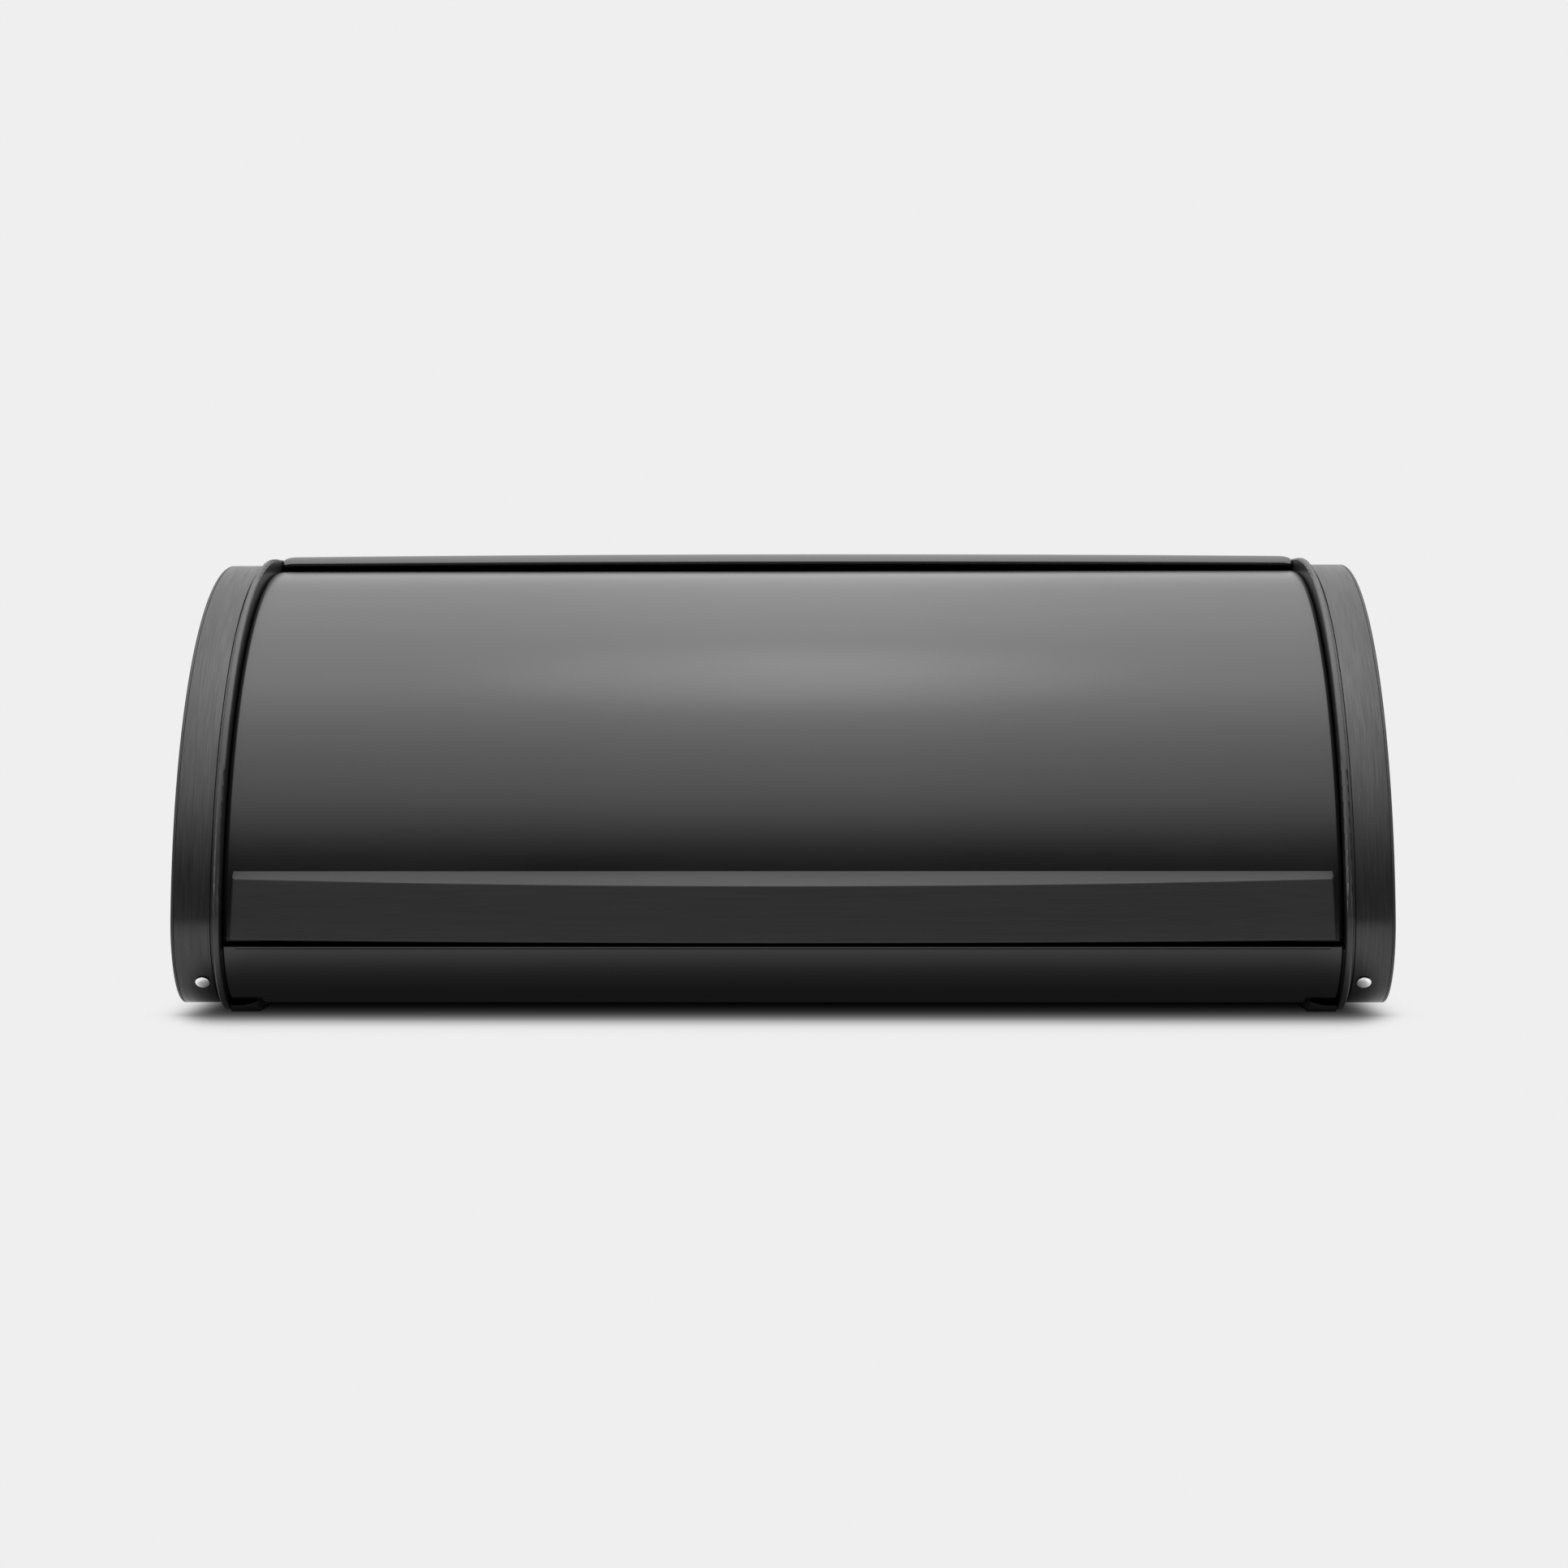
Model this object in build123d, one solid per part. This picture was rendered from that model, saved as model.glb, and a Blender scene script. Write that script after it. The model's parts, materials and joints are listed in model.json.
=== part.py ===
from build123d import *
from math import asin, atan2, cos, degrees, radians, sin, sqrt
import os

# A roll-top bread bin: a folded steel casing held between two moulded end frames, and a curved lid that
# swings up and back under the flat top on two side arms.
# Frame: X runs across the front, the front faces -Y, Z is up. The origin is on the table, under the middle
# of the object's box. Lengths are in mm, angles in degrees.

# ---- Driving sizes -------------------------------------------------------------------------------------
WIDTH = 445.0            # over the two side plates
HEIGHT = 172.5           # table to flat top
FOOT_HEIGHT = 3.0        # table to the underside of the pan

# The band line is the side outline of the two end bands. The other outlines are offsets of it.
BAND_RADIUS = 147.0      # front curve, about the lid's pivot
FRONT_CORNER = 30.4      # radius where the front curve meets the bottom
REAR_BOTTOM_CORNER = 12.0
REAR_TOP_CORNER = 24.0
COVER_OUT = 4.8          # outer face of the top and back sheet, outside the band line
PAN_BACK = 3.95          # how much further back the pan reaches, to meet the cover's inner face
COVER_RETURN, PAN_RETURN = 3.2, 1.2              # depth of their curled side edges
BEAD_OUT = 2.7           # crest of the bead on each end frame
BACK_REACH = 130.5       # pivot to the back face
SHEET = 0.8              # casing and lid sheet
BAND_SHEET = 0.7

# Stations across the width, as distances from the middle
HALF = WIDTH / 2
PLATE_IN = HALF - 1.1    # back of the side plate's lip
BAND_IN, BAND_OUTER = 208.0, PLATE_IN - 0.1
BEAD_IN, BEAD_OUTER = 204.3, 206.8
WEB_OUTER = 206.6        # end frame's upright wall runs from BEAD_IN to here
SHEET_HALF = 203.9       # half width of the cover and pan
LID_HALF = 203.9         # and of the lid
FLANGE_IN = 197.0        # inner end of the flange that carries the sheets

# Lid, by elevation angle seen from the pivot: 0 is straight ahead, 90 is straight up
LID_RADIUS = BAND_RADIUS - 2.5
LID_LOW, LID_HIGH = 2.9, 95.0
LID_CURL = 2.0           # outer radius of its curled side edges
LID_TRAVEL = 55.0
SILL_Z = 25.9            # top edge of the lower front panel

# Handle: a bowed bar along the lid's lower edge
GRIP_TOP, GRIP_MID = 13.0, 7.8
GRIP_PROUD = 6.7         # at the middle of its length
GRIP_BOW = 3.6           # less than that at its ends
GRIP_HALF = 200.1
GRIP_FLARE = 1.1         # how much longer it is at the bottom
GRIP_LEDGE_SLOPE = 31.5  # ledge, falling towards the front
GRIP_BASE_SLOPE = 12.0
GRIP_BASE_Z = 29.1       # underside, where it meets the lid
GRIP_WALL = 2.0
GRIP_SCREW_X = (-150.0, -60.0, 60.0, 150.0)

SEAM_HEAD = 0.8          # height of the seam rivets' heads, the rearmost points
PIVOT_Z = HEIGHT - COVER_OUT - BAND_RADIUS
FRONT_REACH = 151.547    # pivot to the front of the handle
PIVOT_Y = (FRONT_REACH - BACK_REACH - SEAM_HEAD) / 2
BOTTOM_Z = FOOT_HEIGHT   # band line's bottom, and the pan's
BACK_Y = PIVOT_Y + BACK_REACH - COVER_OUT        # band line's back
COVER_LOW_Z = BOTTOM_Z + REAR_BOTTOM_CORNER + 0.8

# The top sheet's front edge bends down in a nose, and is folded back on itself underneath
NOSE_RADIUS = 10.0
NOSE_END = 45.0          # elevation its face ends at
NOSE_Y = PIVOT_Y + 12.0  # where it starts to bend
NOSE_Z = HEIGHT - NOSE_RADIUS
NOSE_CURL = 1.4          # rounding of its two ends

UPSTAND_Z = 28.0         # top of the pan's rear upstand
UPSTAND_NOTCH = 5.0      # cut off each end of it

# Centre of the front corner, which touches the front curve from inside
CORNER_Z = BOTTOM_Z + FRONT_CORNER
CORNER_Y = PIVOT_Y - sqrt((BAND_RADIUS - FRONT_CORNER) ** 2 - (CORNER_Z - PIVOT_Z) ** 2)
CORNER_TURN = degrees(atan2(CORNER_Z - PIVOT_Z, CORNER_Y - PIVOT_Y))

# Pivot
PIN_R, BUSH_R, HUB_R = 3.0, 5.0, 9.0
HUB_IN, HUB_OUTER = 198.9, 203.4
ARM_IN, ARM_OUTER = 199.4, 201.6
BOSS_IN = 203.6          # inner face of the end frame's pivot boss

RAIL_X, RAIL_WIDTH = 199.0, 10.6                 # foot rail
FAR = 400.0              # past every outline


# ---- Helpers -------------------------------------------------------------------------------------------
def polar(radius, elevation):
    """(y, z) at that radius and elevation from the pivot, towards the front."""
    a = radians(180 - elevation)
    return PIVOT_Y + radius * cos(a), PIVOT_Z + radius * sin(a)


def slab(face, x0, x1):
    """A flat shape drawn in (y, z), made solid from x0 to x1."""
    return extrude(Pos(x0, 0, 0) * (Plane.YZ * face), x1 - x0, dir=(1, 0, 0))


def outline(out, back_shift=0.0):
    """The side outline, out outside the band line, as a face in (y, z)."""
    top, back, bottom = PIVOT_Z + BAND_RADIUS + out, BACK_Y + back_shift + out, BOTTOM_Z - out
    top_y, top_z = back - out - REAR_TOP_CORNER, PIVOT_Z + BAND_RADIUS - REAR_TOP_CORNER
    low_y, low_z = back - out - REAR_BOTTOM_CORNER, BOTTOM_Z + REAR_BOTTOM_CORNER
    return make_face([
        CenterArc((PIVOT_Y, PIVOT_Z), BAND_RADIUS + out, 90, CORNER_TURN - 90),
        CenterArc((CORNER_Y, CORNER_Z), FRONT_CORNER + out, CORNER_TURN, 270 - CORNER_TURN),
        Line((CORNER_Y, bottom), (low_y, bottom)),
        CenterArc((low_y, low_z), REAR_BOTTOM_CORNER + out, 270, 90),
        Line((back, low_z), (back, top_z)),
        CenterArc((top_y, top_z), REAR_TOP_CORNER + out, 0, 90),
        Line((top_y, top), (PIVOT_Y, top)),
    ])


def ring(outer, inner, x0, x1):
    return slab(outline(outer), x0, x1) - slab(outline(inner), x0 - 1, x1 + 1)


def region(*points):
    """Everything inside a polygon drawn in (y, z), right across the object."""
    return slab(make_face(Polyline(*points, close=True)), -FAR, FAR)


def sector(radius, low, high, x0, x1):
    """A wedge about the pivot between two elevations."""
    arc = CenterArc((PIVOT_Y, PIVOT_Z), radius, 180 - high, high - low)
    pivot = (PIVOT_Y, PIVOT_Z)
    return slab(make_face([Line(pivot, arc @ 0), arc, Line(arc @ 1, pivot)]), x0, x1)


def arc_strip(outer, inner, low, high, x0, x1):
    return sector(outer, low, high, x0, x1) - sector(inner, low - 5, high + 5, x0 - 1, x1 + 1)


def rod(radius, x0, x1, y, z):
    """A cylinder along X."""
    return Pos((x0 + x1) / 2, y, z) * Rot(0, 90, 0) * Cylinder(radius, abs(x1 - x0))


def round_ends(solid, x, radius):
    """Rounds the edges of the flat faces at +x and -x."""
    ends = [f for f in solid.faces().filter_by(Axis.X) if abs(abs(f.center().X) - x) < 1e-3]
    return fillet([e for f in ends for e in f.edges()], radius)


def curled_sheet(out, curl, depth, back_shift=0.0):
    """A full wrap of casing sheet whose side edges curl inwards by depth."""
    skin = round_ends(slab(outline(out, back_shift), -SHEET_HALF, SHEET_HALF), SHEET_HALF, curl)
    inner = SHEET_HALF - SHEET
    core = round_ends(slab(outline(out - SHEET, back_shift), -inner, inner), inner, curl - SHEET)
    return skin - core - slab(outline(out - depth, back_shift), -FAR, FAR)


def dome(radius, height):
    """A low round rivet head standing on the XY plane."""
    ball = (radius ** 2 + height ** 2) / (2 * height)
    return Pos(0, 0, height - ball) * Sphere(ball) & Pos(0, 0, height / 2) * Cylinder(radius, height)


def rivet(shank_r, grip, head_r, head_h, tail_r, tail_h):
    """A closed rivet along Z: head above the XY plane, shank and tail below it."""
    shank = Pos(0, 0, -grip / 2) * Cylinder(shank_r, grip)
    tail = Pos(0, 0, -grip - tail_h / 2) * Cylinder(tail_r, tail_h)
    return dome(head_r, head_h) + shank + tail


def screw(shank_r, length, head_r, head_h):
    """A pan head screw along Z: head above the XY plane, pointed shank below it, cross slot in the head."""
    head = Pos(0, 0, head_h / 2) * Cylinder(head_r, head_h)
    head = fillet(head.edges().sort_by(Axis.Z)[-1:], head_h * 0.45)
    slot = Box(head_r * 1.1, head_h * 0.35, head_h) + Box(head_h * 0.35, head_r * 1.1, head_h)
    shank = Pos(0, 0, -length / 2) * Cylinder(shank_r, length)
    point = Pos(0, 0, -length - shank_r / 2) * Rot(180, 0, 0) * Cone(shank_r, shank_r * 0.2, shank_r)
    return (head - Pos(0, 0, head_h) * slot) + shank + point


def both_sides(solid):
    return Compound(children=[solid, mirror(solid, Plane.YZ)])


PLACES_LEDGE = Pos(0, *polar(LID_RADIUS, GRIP_TOP)) * Rot(GRIP_LEDGE_SLOPE, 0, 0)
# Local Z points out of the lid
PLACES_GRIP = Pos(0, *polar(LID_RADIUS, GRIP_MID)) * Rot(90 - GRIP_MID, 0, 0)

# Where the fasteners go, shared by each fastener and its holes
FLOOR_SCREWS = [(RAIL_X, PIVOT_Y - 92), (RAIL_X, PIVOT_Y + 96)]
BACK_SCREWS = [(199.5, 46.0), (199.5, 138.0)]
PLATE_SCREWS = [(PIVOT_Y - 104, 50.0), (PIVOT_Y - 42, 134.0), (PIVOT_Y + 104, 142.0), (PIVOT_Y + 104, 36.0)]
SEAM_X = (-160.0, -80.0, 0.0, 80.0, 160.0)
SEAM_Z = 24.0
BAND_RIVET_X = 212.1
FRONT_RIVET_FALL = 46.9  # how far round the front corner from straight down
REAR_RIVET_Z = 27.0


def floor_places():
    return [Pos(s * x, y, 0) for x, y in FLOOR_SCREWS for s in (1, -1)]


def band_rivet_places(out):
    """Frames on the right band's surface, +Z outwards: front corner, then back."""
    a = radians(270 - FRONT_RIVET_FALL)
    reach = FRONT_CORNER + out
    front = Pos(BAND_RIVET_X, CORNER_Y + reach * cos(a), CORNER_Z + reach * sin(a))
    back = Pos(BAND_RIVET_X, BACK_Y + out, REAR_RIVET_Z)
    return [front * Rot(180 - FRONT_RIVET_FALL, 0, 0), back * Rot(-90, 0, 0)]


# ---- Casing --------------------------------------------------------------------------------------------
def rear_top_cover():
    """Flat top and back in one sheet, whose front edge bends down in a folded nose."""
    keep = region((NOSE_Y, COVER_LOW_Z), (NOSE_Y, FAR), (FAR, FAR), (FAR, COVER_LOW_Z))
    sheet = curled_sheet(COVER_OUT, 1.9, COVER_RETURN) & keep
    end = radians(NOSE_END)
    past_end = (NOSE_Y - FAR * cos(end), NOSE_Z + FAR * sin(end))
    bend = region((NOSE_Y, NOSE_Z), (NOSE_Y, FAR), (-FAR, FAR), past_end)
    nose = round_ends(rod(NOSE_RADIUS, -SHEET_HALF, SHEET_HALF, NOSE_Y, NOSE_Z), SHEET_HALF, NOSE_CURL)
    nose = (nose - rod(NOSE_RADIUS - 2 * SHEET, -FAR, FAR, NOSE_Y, NOSE_Z)) & bend
    fold_radius = NOSE_RADIUS - SHEET
    fold_y, fold_z = NOSE_Y - fold_radius * cos(end), NOSE_Z + fold_radius * sin(end)
    fold_half = SHEET_HALF - NOSE_CURL / 2
    fold = round_ends(rod(SHEET, -fold_half, fold_half, fold_y, fold_z), fold_half, SHEET * 0.8)
    cover = sheet + nose + fold
    for x, z in BACK_SCREWS:
        for s in (1, -1):
            cover -= Pos(s * x, BACK_Y, z) * Rot(90, 0, 0) * Cylinder(1.9, 20)
    for x in SEAM_X:
        cover -= Pos(x, BACK_Y, SEAM_Z) * Rot(90, 0, 0) * Cylinder(1.65, 20)
    return cover


def base_pan():
    """Lower front panel, floor and rear upstand in one sheet, with a stiffening hem along the sill."""
    front_low = region((-FAR, -FAR), (PIVOT_Y, -FAR), (PIVOT_Y, SILL_Z), (-FAR, SILL_Z))
    low = front_low + region((PIVOT_Y, -FAR), (FAR, -FAR), (FAR, UPSTAND_Z), (PIVOT_Y, UPSTAND_Z))
    pan = curled_sheet(0, 0.95, PAN_RETURN, PAN_BACK) & low
    hem_front = PIVOT_Y - BAND_RADIUS + 1
    hem_depth = 5.0
    hem = Pos(0, hem_front + hem_depth / 2, SILL_Z - SHEET / 2) * Box(2 * FLANGE_IN - 4, hem_depth, SHEET)
    turn_down = Pos(0, hem_front + hem_depth - SHEET / 2, SILL_Z - 2.5) * Box(2 * FLANGE_IN - 4, SHEET, 5)
    pan += (hem + turn_down) & slab(outline(-SHEET / 2), -FAR, FAR)
    # The upstand stands inside the cover, so its two ends are cut back
    notch = Box(2 * UPSTAND_NOTCH, 2 * UPSTAND_NOTCH, 2 * (UPSTAND_Z - COVER_LOW_Z + 0.5))
    for s in (1, -1):
        pan -= Pos(s * SHEET_HALF, BACK_Y + PAN_BACK, UPSTAND_Z) * notch
    for place in floor_places():
        pan -= place * Cylinder(1.9, 20)
    for x in SEAM_X:
        pan -= Pos(x, BACK_Y, SEAM_Z) * Rot(90, 0, 0) * Cylinder(1.65, 20)
    return pan


# ---- Ends, made on the right and mirrored --------------------------------------------------------------
def end_frame():
    """Moulded end wall: web, rim under the band, proud bead, and a flange that carries the sheets."""
    bead = slab(outline(BEAD_OUT), BEAD_IN, BEAD_OUTER)
    bead = fillet([e for f in bead.faces().filter_by(Axis.X) for e in f.edges()], 0.9)
    rim = ring(-BAND_SHEET - 0.05, -2.7, WEB_OUTER - 0.5, 219.2)
    under_cover = region((PIVOT_Y - 60, FAR), (PIVOT_Y, COVER_LOW_Z), (FAR, COVER_LOW_Z), (FAR, FAR))
    flange = ring(1.5, 0.5, FLANGE_IN, BEAD_IN + 0.5) & under_cover
    flange += ring(-1.3, -2.3, FLANGE_IN, BEAD_IN + 0.5) - under_cover
    mouth = region((-FAR, SILL_Z - 1), (PIVOT_Y - 60, SILL_Z - 1), (NOSE_Y + 1, PIVOT_Z + 60),
                   (NOSE_Y + 1, FAR), (-FAR, FAR))
    frame = bead + rim + (flange - mouth)
    # The bead's slab is the web as well: thin it behind to the web's thickness, inside the rim
    frame -= slab(outline(-2.7), WEB_OUTER, BEAD_OUTER + 1)
    frame += rod(HUB_R, BOSS_IN, BEAD_IN + 0.5, PIVOT_Y, PIVOT_Z)
    frame -= rod(PIN_R + 0.02, BOSS_IN - 5, WEB_OUTER + 5, PIVOT_Y, PIVOT_Z)
    # The floor posts' narrow tips pass inside the pan's curled edge and bear on its floor
    post_height, tip = 8.5, 0.5
    post_z = BOTTOM_Z + PAN_RETURN + 0.1 + post_height / 2
    for x, y in FLOOR_SCREWS:
        post = Pos(x, y, post_z) * Cylinder(4, post_height)
        rib = Pos((x + BEAD_IN) / 2, y, post_z) * Box(BEAD_IN - x + 0.4, 2, post_height)
        frame += post + rib + Pos(x, y, BOTTOM_Z + SHEET + 0.05 + tip / 2) * Cylinder(2.5, tip)
        frame -= Pos(x, y, post_z - 1) * Cylinder(1.52, post_height)
    for x, z in BACK_SCREWS:
        post = Pos(x, BACK_Y - 2.9, z) * Rot(90, 0, 0) * Cylinder(3.6, 8)
        rib = Pos((x + BEAD_IN) / 2, BACK_Y - 2.9, z) * Box(BEAD_IN - x + 0.4, 8, 2)
        frame += post + rib
        frame -= Pos(x, BACK_Y - 2, z) * Rot(90, 0, 0) * Cylinder(1.52, 9)
    for y, z in PLATE_SCREWS:
        frame -= rod(1.8, BEAD_IN - 2, WEB_OUTER + 2, y, z)
    for place in band_rivet_places(0):
        frame -= place * Cylinder(1.25, 8)
    return frame


def side_plate():
    """Outer cover of the end: a lip over the band's edge, a shallow panel and hollow screw posts."""
    lip = slab(outline(0), PLATE_IN, HALF)
    lip = fillet(lip.faces().sort_by(Axis.X)[-1].edges(), 0.8)
    body = slab(outline(-2.9), PLATE_IN - 1.6, PLATE_IN + 0.1)
    spigot = ring(-2.9, -4.5, 216.2, PLATE_IN)
    panel = slab(outline(-9), HALF - 0.6, HALF + 1)
    panel = fillet(panel.faces().sort_by(Axis.X)[0].edges(), 0.4)
    plate = lip + body + spigot - panel
    for y, z in PLATE_SCREWS:
        plate += rod(4, WEB_OUTER + 0.1, PLATE_IN - 1, y, z)
        plate -= rod(1.52, WEB_OUTER - 1, PLATE_IN - 2.4, y, z)
    return plate


def band():
    """Steel strip round the end, open along the bottom, riveted near both ends."""
    strip = ring(0, -BAND_SHEET, BAND_IN, BAND_OUTER)
    strip -= region((CORNER_Y + 5, BOTTOM_Z - 5), (BACK_Y - REAR_BOTTOM_CORNER - 5, BOTTOM_Z - 5),
                    (BACK_Y - REAR_BOTTOM_CORNER - 5, BOTTOM_Z + 5), (CORNER_Y + 5, BOTTOM_Z + 5))
    for place in band_rivet_places(0):
        strip -= place * Cylinder(1.25, 8)
    return strip


def foot_rail():
    """Soft rail under the pan's edge, whose scooped front tip climbs the front corner."""
    tip_z, inside = 4.9, BOTTOM_Z + 8
    tip_y = CORNER_Y - sqrt((FRONT_CORNER + 0.8) ** 2 - (CORNER_Z - tip_z) ** 2)
    rear_y = BACK_Y - REAR_BOTTOM_CORNER
    side = region((CORNER_Y - 6, 0), (rear_y, 0), (rear_y + 5, FOOT_HEIGHT - 1), (rear_y + 5, inside),
                  (tip_y + 6, inside), (tip_y, tip_z))
    length = rear_y + 5 - tip_y
    plan = Pos(RAIL_X, tip_y + length / 2, 0) * extrude(RectangleRounded(RAIL_WIDTH, length, 5), inside)
    rail = (side & plan) - slab(outline(0, PAN_BACK), 0, FAR)
    scoop = 19.0
    rail -= Pos(RAIL_X + RAIL_WIDTH / 4, tip_y, tip_z - 2.3 + scoop) * Rot(90, 0, 0) * Cylinder(scoop, 30)
    for x, y in FLOOR_SCREWS:
        rail -= Pos(x, y, 0) * Cylinder(1.9, 20)
        rail -= Pos(x, y, 0) * Cylinder(3.3, 2 * 2.1)
    return rail


# ---- Pivot ---------------------------------------------------------------------------------------------
def pivot_pin():
    """Shouldered pin, headed over behind the web, grooved for its clip."""
    pin = rod(PIN_R, 196.2, WEB_OUTER, PIVOT_Y, PIVOT_Z)
    head = Pos(WEB_OUTER, PIVOT_Y, PIVOT_Z) * Rot(0, 90, 0) * dome(4.6, 1.3)
    groove = rod(PIN_R + 1, 197.2, 198.0, PIVOT_Y, PIVOT_Z) - rod(PIN_R - 0.6, 197, 198.2, PIVOT_Y, PIVOT_Z)
    pin = chamfer(pin.edges().sort_by(Axis.X)[:1], 0.4)
    return pin + head - groove


def pivot_washer():
    return rod(6.5, 198.1, 198.8, PIVOT_Y, PIVOT_Z) - rod(PIN_R + 0.1, 190, FAR, PIVOT_Y, PIVOT_Z)


def pivot_clip():
    """E-clip in the pin's groove."""
    clip = rod(5.6, 197.25, 197.95, PIVOT_Y, PIVOT_Z) - rod(PIN_R - 0.55, 190, FAR, PIVOT_Y, PIVOT_Z)
    mouth = Pos(197.6, PIVOT_Y, PIVOT_Z - 5) * Box(2, 3.6, 10)
    return clip - mouth


def pivot_bush():
    return rod(BUSH_R, HUB_IN, HUB_OUTER, PIVOT_Y, PIVOT_Z) - rod(PIN_R + 0.05, 190, FAR, PIVOT_Y, PIVOT_Z)


# ---- Lid -----------------------------------------------------------------------------------------------
def grip_screw_places(depth):
    """Frames on the lid's inner face, +Z towards the inside."""
    return [PLACES_GRIP * Pos(x, 0, -depth) * Rot(180, 0, 0) for x in GRIP_SCREW_X]


def lid_sheet():
    """Curved sheet with curled side edges and a folded hem along its top and bottom."""
    inner, returns = LID_RADIUS - SHEET, 2.2
    skin = sector(LID_RADIUS, LID_LOW, LID_HIGH, -LID_HALF, LID_HALF)
    skin = fillet([e for e in skin.edges().filter_by(GeomType.CIRCLE)], LID_CURL)
    core = sector(inner, LID_LOW - 4, LID_HIGH + 4, SHEET - LID_HALF, LID_HALF - SHEET)
    core = fillet([e for e in core.edges().filter_by(GeomType.CIRCLE)], LID_CURL - SHEET)
    lid = skin - core - sector(LID_RADIUS - returns, LID_LOW - 8, LID_HIGH + 8, -FAR, FAR)
    for low in (LID_LOW, LID_HIGH - 2):
        lid += arc_strip(inner + 0.1, inner - SHEET, low, low + 2, -192, 192)
    for place in grip_screw_places(SHEET):
        lid -= place * Cylinder(1.7, 10)
    return lid


def lid_arm():
    """Moulded quarter wheel from the hub to the lid's side, with a bonding rim and three windows."""
    outer, low, high = LID_RADIUS - SHEET - 0.1, LID_LOW + 0.4, LID_HIGH - 0.4
    foot, head = polar(outer, low), polar(outer, high)
    hub = rod(HUB_R, HUB_IN, HUB_OUTER, PIVOT_Y, PIVOT_Z)
    fan = region(foot, (PIVOT_Y, PIVOT_Z - HUB_R), (PIVOT_Y + HUB_R, PIVOT_Z), head, (head[0], HEIGHT),
                 (foot[0] - 9, HEIGHT), (foot[0] - 9, foot[1]))
    inside_lid = fillet(rod(outer, -ARM_OUTER, ARM_OUTER, PIVOT_Y, PIVOT_Z).edges(), 1.3)
    web = rod(outer, ARM_IN, ARM_OUTER, PIVOT_Y, PIVOT_Z) & fan & inside_lid
    spoke, windows = 3.2, 3
    step = (high - low) / windows
    for i in range(windows):
        a, b = low + i * step + spoke, low + (i + 1) * step - spoke
        window = arc_strip(132, 46, a, b, ARM_IN - 1, ARM_OUTER + 1)
        web -= fillet(window.edges().filter_by(Axis.X), 5)
    rim = arc_strip(outer, outer - 2, low, high, 193, ARM_OUTER) & inside_lid
    return hub + web + rim - rod(BUSH_R + 0.02, 190, FAR, PIVOT_Y, PIVOT_Z)


def grip_solid(wall):
    """The handle's outside, or its hollow when wall is over 0, before it is cut to the lid."""
    proud, half = GRIP_PROUD - wall, GRIP_HALF + GRIP_FLARE - wall
    bow = ThreePointArc((-half, proud - GRIP_BOW), (0, proud), (half, proud - GRIP_BOW))
    back = -6
    side = [Line((half, proud - GRIP_BOW), (half, back)), Line((half, back), (-half, back)),
            Line((-half, back), (-half, proud - GRIP_BOW))]
    plan = make_face([bow] + side)
    reach = 40
    bar = PLACES_GRIP * extrude(Plane.XZ * plan, reach, both=True)
    ledge_cut = PLACES_LEDGE * Pos(0, 0, 50 - wall) * Box(FAR * 2, 200, 100)
    base = Pos(0, polar(LID_RADIUS, LID_LOW)[0], GRIP_BASE_Z) * Rot(GRIP_BASE_SLOPE, 0, 0)
    base_cut = base * Pos(0, 0, wall - 50) * Box(FAR * 2, 200, 100)
    bar = bar - ledge_cut - base_cut
    grip_rise = 22.0
    tilt = degrees(asin(GRIP_FLARE / grip_rise))
    for s in (1, -1):
        end = Pos(s * (GRIP_HALF + GRIP_FLARE - wall), 0, GRIP_BASE_Z) * Rot(0, -s * tilt, 0)
        bar -= end * Pos(s * 50, 0, 0) * Box(100, FAR * 2, 120)
    return bar


def grip():
    """Hollow bowed handle with a sloping finger ledge and four screw posts."""
    bar = grip_solid(0)
    lid_front = PIVOT_Y - LID_RADIUS * 0.97
    front = [e for e in bar.edges() if e.length > GRIP_HALF and e.center().Y < lid_front - 2]
    bar = fillet(front, 0.7)
    hollow = grip_solid(GRIP_WALL)
    for place in grip_screw_places(0):
        hollow -= place * Cylinder(3.4, 30)
    bar -= hollow
    bar -= rod(LID_RADIUS + 0.03, -FAR, FAR, PIVOT_Y, PIVOT_Z)
    for place in grip_screw_places(0):
        bar -= place * Cylinder(1.42, 2 * 3.6)
    return bar


# ---- Fasteners and stops -------------------------------------------------------------------------------
def band_rivets():
    each = rivet(1.2, 2.8, 2.75, 1.2, 2.2, 0.9)
    right = [place * each for place in band_rivet_places(0.02)]
    return Compound(children=[mirror(r, Plane.YZ) if s < 0 else r for r in right for s in (1, -1)])


def floor_screws():
    each = screw(1.5, 8, 3.0, 1.6)
    return Compound(children=[place * Pos(0, 0, 2.08) * Rot(180, 0, 0) * each for place in floor_places()])


def cover_screws():
    each = screw(1.5, 8.5, 3.0, 0.7)
    places = [Pos(s * x, BACK_Y + COVER_OUT + 0.02, z) for x, z in BACK_SCREWS for s in (1, -1)]
    return Compound(children=[place * Rot(-90, 0, 0) * each for place in places])


def seam_rivets():
    each = rivet(1.6, 1.7, 2.8, SEAM_HEAD - 0.02, 2.4, 0.8)
    places = [Pos(x, BACK_Y + COVER_OUT + 0.02, SEAM_Z) for x in SEAM_X]
    return Compound(children=[place * Rot(-90, 0, 0) * each for place in places])


def side_plate_screws():
    each = screw(1.5, 9, 3.0, 1.8)
    right = [Pos(BEAD_IN - 0.02, y, z) * Rot(0, -90, 0) * each for y, z in PLATE_SCREWS]
    return Compound(children=[mirror(r, Plane.YZ) if s < 0 else r for r in right for s in (1, -1)])


def handle_screws():
    each = screw(1.4, 3.2, 3.0, 1.8)
    return Compound(children=[place * Pos(0, 0, 0.25) * each for place in grip_screw_places(SHEET)])


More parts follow.
